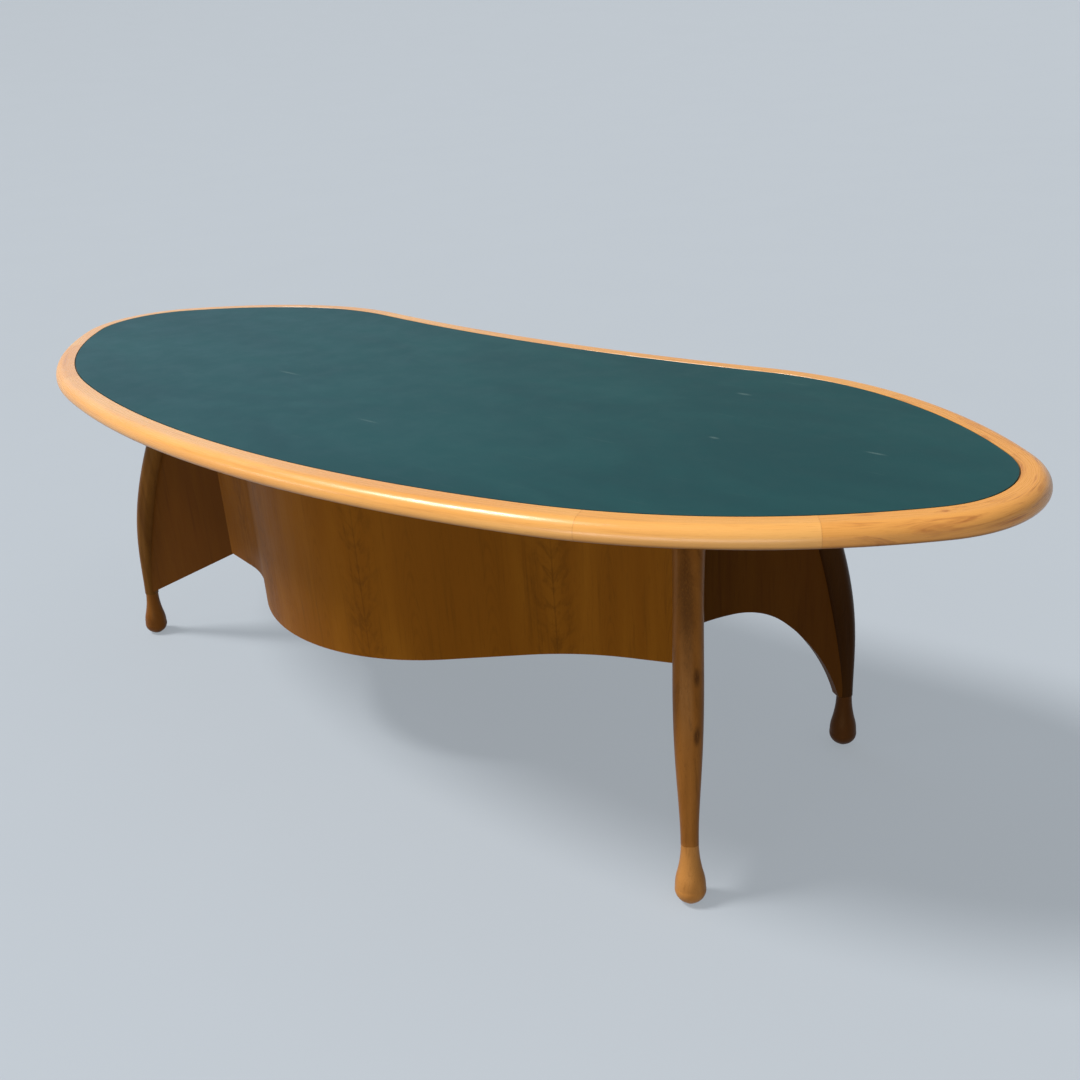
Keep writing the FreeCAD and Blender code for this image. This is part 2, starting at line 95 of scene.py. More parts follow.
class Graph:
    """A material's node tree, with one short method for each kind of node that the finishes use."""

    def __init__(self, name: str) -> None:
        """Start an empty material.

        Args:
            name: Name of the new material.
        """
        self.material = bpy.data.materials.new(name)
        self.material.use_nodes = True
        self.tree = self.material.node_tree
        self.tree.nodes.clear()
        self.shader = self.tree.nodes.new("ShaderNodeBsdfPrincipled")
        output = self.tree.nodes.new("ShaderNodeOutputMaterial")
        self.tree.links.new(self.shader.outputs["BSDF"], output.inputs["Surface"])

    def feed(self, socket: bpy.types.NodeSocket, value: object) -> None:
        """Link a socket to another, or set its number or colour.

        Args:
            socket: Input to fill.
            value: Output socket, number or colour.
        """
        if isinstance(value, bpy.types.NodeSocket):
            self.tree.links.new(value, socket)
        elif isinstance(value, tuple) and len(value) == 3 and socket.type == "RGBA":
            socket.default_value = (*value, 1.0)
        else:
            socket.default_value = value

    def set(self, name: str, value: object) -> None:
        """Fill an input of the surface shader.

        Args:
            name: Name of the input.
            value: Output socket, number or colour.
        """
        self.feed(self.shader.inputs[name], value)

    def coordinates(self, grain: Grain, stretch: float) -> bpy.types.NodeSocket:
        """Place on the surface in metres, squeezed along the grain.

        Args:
            grain: Which way the fibres run.
            stretch: How much longer than wide the pattern is.

        Returns:
            Vector output.
        """
        source = self.tree.nodes.new("ShaderNodeTexCoord")
        mapping = self.tree.nodes.new("ShaderNodeMapping")
        along = 1.0 / stretch
        scales = {
            Grain.UPRIGHT: (1.0, 1.0, along),
            Grain.ALONG_X: (along, 1.0, 1.0),
            Grain.ALONG_LENGTH: (along, 1.0, 1.0),
        }
        name = "UV" if grain is Grain.ALONG_LENGTH else "Object"
        mapping.inputs["Scale"].default_value = scales[grain]
        self.tree.links.new(source.outputs[name], mapping.inputs["Vector"])
        return mapping.outputs["Vector"]

    def noise(self, vector: bpy.types.NodeSocket, scale: float, detail: float = 4.0, rough: float = 0.55,
              twist: float = 0.0) -> bpy.types.NodeSocket:
        """Fractal noise.

        Args:
            vector: Place on the surface.
            scale: Features per metre.
            detail: Number of octaves.
            rough: Strength of the finer octaves.
            twist: Distortion.

        Returns:
            Value output.
        """
        node = self.tree.nodes.new("ShaderNodeTexNoise")
        self.feed(node.inputs["Vector"], vector)
        node.inputs["Scale"].default_value = scale
        node.inputs["Detail"].default_value = detail
        node.inputs["Roughness"].default_value = rough
        node.inputs["Distortion"].default_value = twist
        return node.outputs["Fac"]

    def math(self, operation: str, first: object, second: object = 0.0) -> bpy.types.NodeSocket:
        """Arithmetic on values.

        Args:
            operation: Blender's name of the operation.
            first: First operand.
            second: Second operand.

        Returns:
            Value output.
        """
        node = self.tree.nodes.new("ShaderNodeMath")
        node.operation = operation
        for socket, value in zip(node.inputs, (first, second)):
            self.feed(socket, value)
        return node.outputs["Value"]

    def band(self, value: object, low: float, high: float, start: float = 0.0,
             end: float = 1.0) -> bpy.types.NodeSocket:
        """Remap a value smoothly from one range to another.

        Args:
            value: Value to remap.
            low: Input that gives start.
            high: Input that gives end.
            start: Result at and below low.
            end: Result at and above high.

        Returns:
            Value output.
        """
        node = self.tree.nodes.new("ShaderNodeMapRange")
        node.interpolation_type = "SMOOTHSTEP"
        names = ("Value", "From Min", "From Max", "To Min", "To Max")
        for name, item in zip(names, (value, low, high, start, end)):
            self.feed(node.inputs[name], item)
        return node.outputs["Result"]

    def mix(self, amount: object, first: object, second: object) -> bpy.types.NodeSocket:
        """Blend two colours.

        Args:
            amount: Share of the second colour.
            first: First colour.
            second: Second colour.

        Returns:
            Colour output.
        """
        node = self.tree.nodes.new("ShaderNodeMix")
        node.data_type = "RGBA"
        self.feed(node.inputs[0], amount)
        self.feed(node.inputs[6], first)
        self.feed(node.inputs[7], second)
        return node.outputs[2]

    def spot(self, mark: Mark) -> bpy.types.NodeSocket:
        """Soft mark at one place on the surface.

        Args:
            mark: Place, size and direction of the mark.

        Returns:
            Value output.
        """
        source = self.tree.nodes.new("ShaderNodeTexCoord")
        mapping = self.tree.nodes.new("ShaderNodeMapping")
        mapping.vector_type = "TEXTURE"
        mapping.inputs["Location"].default_value = mark.place
        mapping.inputs["Rotation"].default_value = Vector(mark.lean).to_track_quat("Z", "Y").to_euler()
        mapping.inputs["Scale"].default_value = mark.reach
        self.tree.links.new(source.outputs["Object"], mapping.inputs["Vector"])
        length = self.tree.nodes.new("ShaderNodeVectorMath")
        length.operation = "LENGTH"
        self.tree.links.new(mapping.outputs["Vector"], length.inputs[0])
        return self.band(length.outputs["Value"], 0.2, 1.0, 1.0, 0.0)

    def split(self, vector: bpy.types.NodeSocket, axis: str) -> bpy.types.NodeSocket:
        """One component of a vector.

        Args:
            vector: Vector to split.
            axis: "X", "Y" or "Z".

        Returns:
            Value output.
        """
        node = self.tree.nodes.new("ShaderNodeSeparateXYZ")
        self.tree.links.new(vector, node.inputs[0])
        return node.outputs[axis]

    def place(self) -> bpy.types.NodeSocket:
        """Place on the surface in metres, unscaled.

        Returns:
            Vector output.
        """
        return self.tree.nodes.new("ShaderNodeTexCoord").outputs["Object"]

    def attribute(self, name: str) -> bpy.types.NodeSocket:
        """Number that the mesh holds at each vertex.

        Args:
            name: Name of the mesh attribute.

        Returns:
            Value output.
        """
        node = self.tree.nodes.new("ShaderNodeAttribute")
        node.attribute_name = name
        return node.outputs["Fac"]

    def corner(self) -> bpy.types.NodeSocket:
        """How far the surface stands out at an edge or a corner.

        Returns:
            Value output, about a half on flat faces.
        """
        return self.tree.nodes.new("ShaderNodeNewGeometry").outputs["Pointiness"]

    def bump(self, height: bpy.types.NodeSocket, strength: float, depth: float) -> None:
        """Roughen the surface's shading.

        Args:
            height: Height as a share.
            strength: Strength of the effect.
            depth: Depth in metres.
        """
        node = self.tree.nodes.new("ShaderNodeBump")
        node.inputs["Strength"].default_value = strength
        node.inputs["Distance"].default_value = depth
        self.tree.links.new(height, node.inputs["Height"])
        self.tree.links.new(node.outputs["Normal"], self.shader.inputs["Normal"])


@dataclass(frozen=True)
class WoodFinish:
    """Lacquered or raw wood with figure, fibres, pores and marks, and where set, painted shade and a
    painted edge highlight.
    """

    name: str
    light: Colour
    dark: Colour
    line: Colour
    grain: Grain = Grain.UPRIGHT
    figure: float = 9.0
    rings: float = 26.0
    roughness: float = 0.4
    coat: float = 0.25
    specular: float = 0.4
    sheen: Colour = (1.0, 1.0, 1.0)
    worn_and_highlit_edges: bool = False
    jointed: bool = False
    veneer: Optional[Veneer] = None
    knots_and_shade: Tuple[Mark, ...] = ()
    broad_stretch: float = 9.0
    fine_stretch: float = 30.0
    fibres: float = 520.0
    pores: float = 900.0
    streaks: float = 110.0
    ring_share: float = 0.35
    streak_share: float = 0.4
    pore_share: float = 0.35
    fibre_share: float = 0.22
    coat_roughness: float = 0.18
    relief: float = 0.16
    relief_depth: float = 0.0006

    def material(self) -> bpy.types.Material:
        """Build the node material.

        Returns:
            The new material.
        """
        graph = Graph(self.name)
        broad = graph.coordinates(self.grain, self.broad_stretch)
        fine = graph.coordinates(self.grain, self.fine_stretch)
        if self.veneer:
            broad = self.matched(graph, broad)
        cloud = graph.noise(broad, self.figure, 3.0, 0.5, 0.4)
        wander = graph.noise(broad, self.figure * 0.6, 2.0, 0.4)
        ring = graph.math("SINE", graph.math("MULTIPLY", wander, self.rings * 2 * math.pi))
        ring = graph.band(ring, 0.2, 1.0)
        fibre = graph.noise(fine, self.fibres, 4.0, 0.65)
        pore = graph.band(graph.noise(fine, self.pores, 2.0, 0.5), 0.6, 0.72)
        streak = graph.band(graph.noise(fine, self.streaks, 3.0, 0.6), 0.52, 0.78)
        colour = graph.mix(graph.band(cloud, 0.3, 0.7), self.light, self.dark)
        colour = graph.mix(graph.math("MULTIPLY", ring, self.ring_share), colour, self.dark)
        colour = graph.mix(graph.math("MULTIPLY", streak, self.streak_share), colour, self.line)
        colour = graph.mix(graph.math("MULTIPLY", pore, self.pore_share), colour, self.line)
        colour = graph.mix(graph.band(fibre, 0.35, 0.75, 0.0, self.fibre_share), colour, self.dark)
        # Knots, and long patches of painted shade where such a mark is given.
        for mark in self.knots_and_shade:
            knot_and_shade_depth = graph.band(fibre, 0.2, 0.6, 0.5 * mark.share, mark.share)
            colour = graph.mix(graph.math("MULTIPLY", graph.spot(mark), knot_and_shade_depth), colour, self.line)
        if self.veneer:
            colour = self.cathedral(graph, colour, wander, fibre)
            colour = self.feather(graph, colour)
        # Rim lengths: their own tones, hairline joints, and painted shade with duller gloss on the
        # underside.
        if self.jointed:
            colour = self.lengths(graph, colour)
        if self.worn_and_highlit_edges:
            # Lighter on convex edges: rubbed wear, and partly a painted highlight along the edges.
            rubbed = graph.band(graph.corner(), 0.52, 0.62)
            rubbed = graph.math("MULTIPLY", rubbed, graph.band(cloud, 0.35, 0.65, 0.1, 0.5))
            colour = graph.mix(rubbed, colour, tuple(min(1.0, 1.3 * part) for part in self.light))
        graph.set("Base Color", colour)
        gloss = self.specular
        if self.jointed:
            gloss = graph.band(graph.attribute("under"), 0.1, 0.7, self.specular, 0.05)
        graph.set("Specular IOR Level", gloss)
        graph.set("Specular Tint", self.sheen)
        rough = graph.band(fibre, 0.2, 0.8, self.roughness - 0.08, self.roughness + 0.1)
        graph.set("Roughness", rough)
        graph.set("Coat Weight", self.coat)
        graph.set("Coat Roughness", self.coat_roughness)
        height = graph.math("SUBTRACT", fibre, graph.math("MULTIPLY", pore, 0.6))
        graph.bump(height, self.relief, self.relief_depth)
        return graph.material

    def lengths(self, graph: Graph, colour: bpy.types.NodeSocket) -> bpy.types.NodeSocket:
        """Set each length of wood a little apart, with a hairline where two meet and painted shade on the
        underside.

        Args:
            graph: Material under way.
            colour: Colour so far.

        Returns:
            Colour output.
        """
        tone = graph.attribute("tone")
        streak = graph.noise(graph.coordinates(self.grain, 7.0), 60.0, 4.0, 0.65, 1.2)
        patch = graph.noise(graph.coordinates(self.grain, 3.0), 16.0, 3.0, 0.6, 0.6)
        broken = graph.math("MULTIPLY", graph.band(streak, 0.5, 0.72), graph.band(patch, 0.32, 0.56))
        colour = graph.mix(graph.math("MULTIPLY", tone, 0.8), colour, self.dark)
        colour = graph.mix(graph.math("MULTIPLY", tone, broken), colour, self.line)
        hairline = graph.band(graph.attribute("ends"), 0.0003, 0.0009, 0.3, 0.0)
        colour = graph.mix(hairline, colour, self.line)
        # Painted shade: darker on the chin and underside of the rim, below the nose's middle, where it lies
        # in shade.
        painted_underside_shade = graph.band(graph.attribute("under"), 0.25, 0.9, 0.0, 0.85)
        return graph.mix(painted_underside_shade, colour, tuple(0.35 * part for part in self.line))

    def cathedral(self, graph: Graph, colour: bpy.types.NodeSocket, wander: bpy.types.NodeSocket,
                  fibre: bpy.types.NodeSocket) -> bpy.types.NodeSocket:
        """Draw the nested arches of flat-cut veneer in each leaf.

        Args:
            graph: Material under way.
            colour: Colour so far.
            wander: Slow noise that keeps the arches irregular.
            fibre: Fine noise that breaks them up.

        Returns:
            Colour output.
        """
        cut = self.veneer
        across = self.fold(graph, graph.place())
        middle = graph.math("DIVIDE", graph.math("SUBTRACT", across, cut.arch_place * cut.leaf), cut.leaf)
        level = graph.math("MULTIPLY", graph.split(graph.place(), "Z"), cut.arch_spacing)
        rise = graph.math("MULTIPLY", graph.math("MULTIPLY", middle, middle), cut.arch_rise)
        strayed = graph.math("MULTIPLY", wander, cut.arch_wander)
        arch = graph.math("ADD", graph.math("ADD", rise, level), strayed)
        arch = graph.band(graph.math("SINE", graph.math("MULTIPLY", arch, cut.arch_lines)), 0.0, 1.0)
        near = graph.band(graph.math("ABSOLUTE", middle), 0.03, 0.17, cut.arch_share, 0.0)
        broken = graph.math("MULTIPLY", graph.math("MULTIPLY", arch, near), graph.band(fibre, 0.3, 0.65))
        colour = graph.mix(broken, colour, self.line)
        return graph.mix(near, colour, self.dark)

    def feather(self, graph: Graph, colour: bpy.types.NodeSocket) -> bpy.types.NodeSocket:
        """Draw the seams and the slanting flecks beside them, and paint shade along the top of the panel,
        under the rim.

        Args:
            graph: Material under way.
            colour: Colour so far.

        Returns:
            Colour output.
        """
        cut = self.veneer
        across = self.fold(graph, graph.place())
        height = graph.split(graph.place(), "Z")
        changed = graph.math("MULTIPLY", graph.split(graph.place(), "X"), cut.fleck_change)
        climb = graph.math("MULTIPLY", across, cut.fleck_slant)
        slant = graph.tree.nodes.new("ShaderNodeCombineXYZ")
        graph.feed(slant.inputs["X"], graph.math("MULTIPLY", across, cut.fleck_width))
        graph.feed(slant.inputs["Y"], changed)
        graph.feed(slant.inputs["Z"], graph.math("SUBTRACT", height, climb))
        fleck = graph.band(graph.noise(slant.outputs[0], cut.fleck_scale, 3.0, 0.6, 0.5), 0.40, 0.72)
        beside = graph.band(across, 0.0, cut.fleck_reach, cut.fleck_share, 0.0)
        colour = graph.mix(graph.math("MULTIPLY", fleck, beside), colour, self.line)
        colour = graph.mix(graph.math("MULTIPLY", beside, 0.4), colour, self.dark)
        # Painted shade: darker towards the top of the panel, where the rim overhead shades it.
        shade = graph.band(height, cut.shade_from, cut.shade_to, 0.0, cut.shade_share)
        colour = graph.mix(shade, colour, self.dark)
        edge = graph.band(across, 0.0006, 0.0016, cut.line_share, 0.0)
        return graph.mix(edge, colour, self.line)

    def fold(self, graph: Graph, vector: bpy.types.NodeSocket) -> bpy.types.NodeSocket:
        """Distance to every second seam between veneer leaves.

        Args:
            graph: Material under way.
            vector: Place on the surface.

        Returns:
            Value output in metres.
        """
        shifted = graph.math("SUBTRACT", graph.split(vector, "X"), self.veneer.seam)
        return graph.math("PINGPONG", shifted, self.veneer.leaf)

    def matched(self, graph: Graph, vector: bpy.types.NodeSocket) -> bpy.types.NodeSocket:
        """Fold the pattern at each veneer leaf, so that neighbours mirror each other.

        Args:
            graph: Material under way.
            vector: Place on the surface.

        Returns:
            Vector output.
        """
        folded = self.fold(graph, vector)
        join = graph.tree.nodes.new("ShaderNodeCombineXYZ")
        graph.feed(join.inputs["X"], folded)
        squeezed = graph.math("MULTIPLY", graph.split(vector, "Y"), self.veneer.depth_squeeze)
        graph.feed(join.inputs["Y"], squeezed)
        graph.feed(join.inputs["Z"], graph.split(vector, "Z"))
        return join.outputs[0]


@dataclass(frozen=True)
class InlayFinish:
    """Dark green writing sheet, faintly mottled, with a few pale scuffs."""

    name: str = "writing_sheet"
    deep: Colour = (0.008, 0.064, 0.074)
    pale: Colour = (0.012, 0.084, 0.092)
    scuff: Colour = (0.14, 0.23, 0.23)
    scuffs: Tuple[Mark, ...] = (
        Mark((0.623, 0.281, 0.72), (0.020, 0.006, 0.02), 0.7),
        Mark((0.720, 0.045, 0.72), (0.014, 0.005, 0.02), 0.7),
        Mark((0.979, 0.110, 0.72), (0.024, 0.004, 0.02), 0.7),
        Mark((-0.310, -0.060, 0.72), (0.050, 0.004, 0.02), 0.7),
        Mark((0.120, -0.200, 0.72), (0.040, 0.003, 0.02), 0.7),
    )
    clouds: float = 4.6
    cloud_stretch: float = 2.4
    blotches: float = 14.0
    pebbles: float = 900.0
    scratches: float = 320.0
    scratch_stretch: float = 40.0
    specular: float = 0.18
    relief: float = 0.12
    relief_depth: float = 0.0004

    def material(self) -> bpy.types.Material:
        """Build the node material.

        Returns:
            The new material.
        """
        graph = Graph(self.name)
        place = graph.place()
        cloudy = graph.coordinates(Grain.ALONG_X, self.cloud_stretch)
        cloud = graph.noise(cloudy, self.clouds, 5.0, 0.6, 0.6)
        blotch = graph.noise(place, self.blotches, 4.0, 0.6)
        pebble = graph.noise(place, self.pebbles, 3.0, 0.6)
        drawn = graph.coordinates(Grain.ALONG_X, self.scratch_stretch)
        scratch = graph.noise(drawn, self.scratches, 2.0, 0.5)
        colour = graph.mix(graph.band(cloud, 0.3, 0.72), self.deep, self.pale)
        colour = graph.mix(graph.band(blotch, 0.45, 0.8, 0.0, 0.35), colour, self.pale)
        colour = graph.mix(graph.band(scratch, 0.7, 0.8, 0.0, 0.25), colour, self.scuff)
        for mark in self.scuffs:
            rubbed = graph.band(pebble, 0.35, 0.6, 0.1, mark.share)
            colour = graph.mix(graph.math("MULTIPLY", graph.spot(mark), rubbed), colour, self.scuff)
        graph.set("Base Color", colour)
        graph.set("Roughness", graph.band(blotch, 0.25, 0.75, 0.45, 0.51))
        graph.set("Specular IOR Level", self.specular)
        height = graph.math("ADD", pebble, graph.math("MULTIPLY", blotch, 0.5))
        graph.bump(height, self.relief, self.relief_depth)
        return graph.material


@dataclass(frozen=True)
class PlainFinish:
    """Metal or plastic: one colour with slight mottling."""

    name: str
    colour: Colour
    roughness: float
    metallic: float = 0.0
    scale: float = 60.0
    variation: float = 0.12

    def material(self) -> bpy.types.Material:
        """Build the node material.

        Returns:
            The new material.
        """
        graph = Graph(self.name)
        cloud = graph.noise(graph.place(), self.scale, 4.0, 0.6)
        darker = tuple(part * (1.0 - self.variation) for part in self.colour)
        graph.set("Base Color", graph.mix(graph.band(cloud, 0.3, 0.7), darker, self.colour))
        graph.set("Roughness", graph.band(cloud, 0.2, 0.8, self.roughness - 0.05, self.roughness + 0.05))
        graph.set("Metallic", self.metallic)
        graph.bump(cloud, 0.05, 0.0003)
        return graph.material


@dataclass(frozen=True)
class FloorFinish:
    """Pale matt floor that throws little light back up at the desk."""

    name: str
    shown: Colour
    thrown: Colour
    glow: Colour
    roughness: float = 0.9

    def material(self) -> bpy.types.Material:
        """Build the node material.

        Returns:
            The new material.
        """
        graph = Graph(self.name)
        rays = graph.tree.nodes.new("ShaderNodeLightPath").outputs
        seen = graph.math("MAXIMUM", rays["Is Camera Ray"], rays["Is Glossy Ray"])
        seen = graph.math("MAXIMUM", seen, rays["Is Transmission Ray"])
        cloud = graph.noise(graph.place(), 1.5, 4.0, 0.6)
        darker = tuple(part * 0.985 for part in self.shown)
        pale = graph.mix(graph.band(cloud, 0.3, 0.7), darker, self.shown)
        graph.set("Base Color", graph.mix(seen, self.thrown, pale))
        graph.set("Emission Color", self.glow)
        graph.set("Emission Strength", seen)
        graph.set("Roughness", self.roughness)
        graph.set("Specular IOR Level", 0.1)
        graph.bump(cloud, 0.03, 0.0003)
        return graph.material


@dataclass
class Outline:
    """Inlay outline, its right half as tangent arcs from the front's middle to the back's middle."""

    radii: Tuple[float, ...] = (2.566, 1.019, 0.180, 0.871, 0.614)
    turns: Tuple[float, ...] = (14.9, 33.4, 88.1, 22.9, 27.8)

    def arcs(self) -> List[Tuple[Vector, float, float, float]]:
        """Work out the arcs of the right half.

        Returns:
            Centre, signed radius, heading and turn of each arc.
        """
        rows = []
        position = Vector((0.0, 0.0))
        heading = 0.0
        for radius, turn in zip(self.radii, self.turns):
            centre = position + self.left(heading) * radius
            rows.append((centre, radius, heading, turn))
            heading += turn
            position = centre - self.left(heading) * radius
        back = position.x / math.sin(math.radians(heading))
        rows.append((position + self.left(heading) * back, back, heading, 180.0 - heading))
        middle = Vector((0.0, (rows[-2][0].y + self.radii[-1]) / 2))
        return [(centre - middle, radius, start, turn) for centre, radius, start, turn in rows]

    @staticmethod
    def left(heading: float) -> Vector:
        """Unit vector to the left of a heading.

        Args:
            heading: Heading in degrees.

        Returns:
            The vector in plan.
        """
        angle = math.radians(heading)
        return Vector((-math.sin(angle), math.cos(angle)))

    def place(self, arc: Tuple[Vector, float, float, float], share: float,
              mirrored: bool) -> Tuple[Vector, Vector]:
        """Point of an arc and the direction that points away from the inlay there.

        Args:
            arc: One of the arcs.
            share: Share of the arc's turn.
            mirrored: Whether it is on the left half.

        Returns:
            Point and unit vector in plan.
        """
        centre, radius, heading, turn = arc
        outward = -self.left(heading + turn * share)
        edge = centre + outward * radius
        if mirrored:
            return Vector((-edge.x, edge.y)), Vector((-outward.x, outward.y))
        return edge, outward


@dataclass(frozen=True)
class Span:
    """Part of an outline arc, on the right half or mirrored to the left half."""

    arc: int
    first: float
    last: float
    mirrored: bool = False

    def mirror(self) -> "Span":
        """The same span on the other half, run the other way.

        Returns:
            The mirrored span.
        """
        return Span(self.arc, self.last, self.first, not self.mirrored)


@dataclass
class Station:
    """Place on the outline where the rim's section stands."""

    edge: Vector
    outward: Vector
    along: float


@dataclass
class Rim:
    """Rounded wooden rim in several lengths with butt joints."""

    outline: Outline
    top: float = 0.720
    width: float = 0.045
    thickness: float = 0.036
    nose: float = 0.022
    joint: float = 0.00005
    ease: float = 0.0004
    step: float = 0.008
    front_joint_share: float = 0.15
    tip_joint_share: float = 0.71
    arc_steps: int = 14
    sharp: float = 40.0
    grain_shift: Point = (3.7, 0.9)
    tones: Tuple[float, ...] = (0.0, 0.2, 0.06, 0.1, 0.9, 0.0, 0.7, 0.2, 0.3, 0.2)

    def lengths(self) -> Dict[str, List[Span]]:
        """Spans of each length of rim, run anticlockwise.

        Returns:
            Spans by node name.
        """
        front = [Span(0, 0.0, 1.0), Span(1, 0.0, self.front_joint_share)]
        back = [Span(5, 0.0, 1.0)]
        sides = {
            "front_end": [Span(1, self.front_joint_share, self.tip_joint_share)],
            "tip": [Span(1, self.tip_joint_share, 1.0), Span(2, 0.0, 1.0)],
            "back_end": [Span(3, 0.0, 1.0)],
            "shoulder": [Span(4, 0.0, 1.0)],
        }
        rows = {
            "rim_front": [span.mirror() for span in reversed(front)] + front,
            "rim_back": back + [span.mirror() for span in reversed(back)],
        }
        for name, spans in sides.items():
            rows[f"rim_{name}_right"] = spans
            rows[f"rim_{name}_left"] = [span.mirror() for span in reversed(spans)]
        return rows

    def stations(self, spans: Sequence[Span]) -> List[Station]:
        """Evenly stepped stations along a run of spans, short of the joint at each end.

        Args:
            spans: Spans of one length of rim.

        Returns:
            Its stations in order.
        """
        arcs = self.outline.arcs()
        rows = []
        along = 0.0
        for index, span in enumerate(spans):
            arc = arcs[span.arc]
            size = abs(arc[1] * math.radians(arc[3]))
            reach = size * abs(span.last - span.first)
            count = max(4, round(reach / self.step))
            shares = [step / count for step in range(count + 1)]
            if index == 0:
                shares[0] = self.joint / reach
            else:
                shares = shares[1:]
            if index == len(spans) - 1:
                shares[-1] = 1.0 - self.joint / reach
            for share in shares:
                turned = span.first + (span.last - span.first) * share
                edge, outward = self.outline.place(arc, turned, span.mirrored)
                rows.append(Station(edge, outward, along + reach * share))
            along += reach
        return rows

    def profile(self) -> List[Point]:
        """Section of the rim, from the top inner edge round the nose to the bottom inner edge.

        Returns:
            Distance from the inlay and height of each point.
        """
        chin = self.thickness - self.nose
        bottom = self.top - self.thickness
        flat = 3 * self.ease
        points = [(0.0, self.top - self.ease), (self.ease, self.top), (flat, self.top)]
        quarter = math.pi / 2
        for radius, start in ((self.nose, quarter), (chin, 0.0)):
            for index in range(self.arc_steps + 1):
                angle = start - quarter * index / self.arc_steps
                reach = self.width - radius + radius * math.cos(angle)
                points.append((reach, bottom + chin + radius * math.sin(angle)))
            if radius == self.nose:
                points.pop()
        points += [(flat, bottom), (self.ease, bottom), (0.0, bottom + self.ease)]
        return points

    def build(self, finish: bpy.types.Material) -> None:
        """Build every length in place of its node.

        Args:
            finish: Material of the rim.
        """
        for index, (name, spans) in enumerate(self.lengths().items()):
            mesh = self.sweep(name, self.stations(spans), index)
            mesh.materials.append(finish)
            piece = bpy.data.objects.new("dressed_" + name, mesh)
            bpy.context.scene.collection.objects.link(piece)
            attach(piece, "root")
            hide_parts(name)
            LOG.info("built %s", piece.name)

    def sweep(self, name: str, stations: Sequence[Station], seed: int) -> bpy.types.Mesh:
        """Sweep the section along the stations.

        Args:
            name: Name of the node that it stands for.
            stations: Places along the outline.
            seed: Number that sets its grain apart from its neighbours.

        Returns:
            The new mesh, with its grain laid out along its length.
        """
        section = self.profile()
        girth = [0.0]
        for first, last in zip(section, section[1:]):
            girth.append(girth[-1] + math.dist(first, last))
        whole = stations[-1].along
        chin = self.thickness - self.nose
        middle = self.top - self.nose
        shift_along, shift_round = (seed * shift for shift in self.grain_shift)
        verts, faces, layout, ends, under = [], [], [], [], []
        for station in stations:
            for (reach, height), round_it in zip(section, girth):
                point = station.edge + station.outward * reach
                verts.append((point.x, point.y, height))
                layout.append((station.along + shift_along, round_it + shift_round))
                ends.append(min(station.along, whole - station.along))
                # How far below the nose's middle; the rim's material paints shade there.
                under.append(max(0.0, (middle - height) / chin))
        size = len(section)
        for ring in range(len(stations) - 1):
            for side in range(size):
                after = (side + 1) % size
                low, high = ring * size, (ring + 1) * size
                faces.append((low + side, low + after, high + after, high + side))
        faces.append(tuple(range(size))[::-1])
        faces.append(tuple(range((len(stations) - 1) * size, len(stations) * size)))
        mesh = bpy.data.meshes.new("dressed_" + name)
        mesh.from_pydata(verts, [], faces)
        mesh.shade_smooth()
        mesh.set_sharp_from_angle(angle=math.radians(self.sharp))
        tones = [self.tones[seed]] * len(verts)
        for label, values in (("ends", ends), ("under", under), ("tone", tones)):
            mesh.attributes.new(label, "FLOAT", "POINT").data.foreach_set("value", values)
        layer = mesh.uv_layers.new(name="grain")
        for loop in mesh.loops:
            layer.data[loop.index].uv = layout[loop.vertex_index]
        return mesh


@dataclass
class CarriedNodes:
    """Nodes whose own solids show, grouped by the finish that they get."""

    groups: Dict[str, Tuple[str, ...]] = field(default_factory=lambda: {
        "inlay": ("writing_inlay",),
        "core": ("top_core",),
        "wave": ("wave_panel",),
        "fins": ("fin_front_left", "fin_front_right", "fin_back_left", "fin_back_right"),
        # The left front and the back legs and feet take darker copies of the leg and foot wood: painted
        # shade.
        "left leg in painted shade": ("leg_front_left",),
        "legs": ("leg_front_right",),
        "back legs in painted shade": ("leg_back_left", "leg_back_right"),
        "left foot in painted shade": ("foot_front_left",),
        "feet": ("foot_front_right",),
        "back feet in painted shade": ("foot_back_left", "foot_back_right"),
        "posts": ("post_left", "post_right", "wave_cleat"),
        "inner": ("rim_dowels", "post_dowels"),
        "steel": ("foot_studs", "leg_plates", "plate_screws", "leg_screws", "cleat_screws"),
        "glides": ("floor_glides",),
    })

    def dress(self, finishes: Dict[str, bpy.types.Material]) -> None:
        """Give each node its material.

        Args:
            finishes: Material of each group.
        """
        for group, names in self.groups.items():
            for name in names:
                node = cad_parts[name]
                for place in node.material_slots:
                    place.link = "OBJECT"
                    place.material = finishes[group]
                LOG.info("dressed %s", name)


